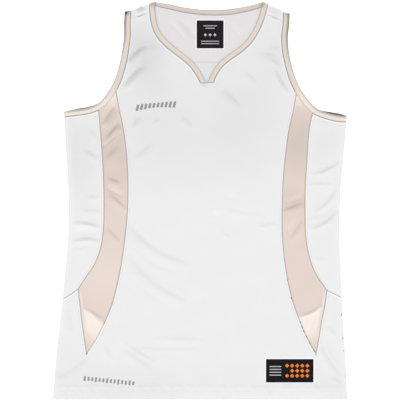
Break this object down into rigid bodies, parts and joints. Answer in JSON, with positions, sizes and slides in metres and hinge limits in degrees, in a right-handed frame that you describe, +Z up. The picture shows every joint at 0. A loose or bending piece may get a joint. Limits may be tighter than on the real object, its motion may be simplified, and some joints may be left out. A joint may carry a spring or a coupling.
{
  "type": "basketball jersey laid flat",
  "caption": "Sleeveless V-neck team jersey laid flat, with bound neck and armholes, pointed side inserts and patches inside the neck and at the hem.",
  "frame": {"origin": "middle of the jersey's box, on the surface that it lies on", "axes": "+Y from the hem to the shoulders, +Z up out of the front of the jersey, +X to the right of someone looking at the front"},
  "size_m": [0.5503, 0.7438, 0.0073],
  "materials": {
    "white_knit": "matt fine sports knit",
    "champagne_satin": "soft satin sheen",
    "champagne_rib": "matt folded rib",
    "black_label": "smooth printed patch"
  },
  "bodies": {
    "root": {"back": "white_knit", "front": "white_knit", "insert_left": "champagne_satin", "insert_right": "champagne_satin", "neck_binding": "champagne_rib", "armhole_binding_left": "champagne_rib", "armhole_binding_right": "champagne_rib", "neck_label": "black_label", "hem_label": "black_label"}
  },
  "joints": []
}
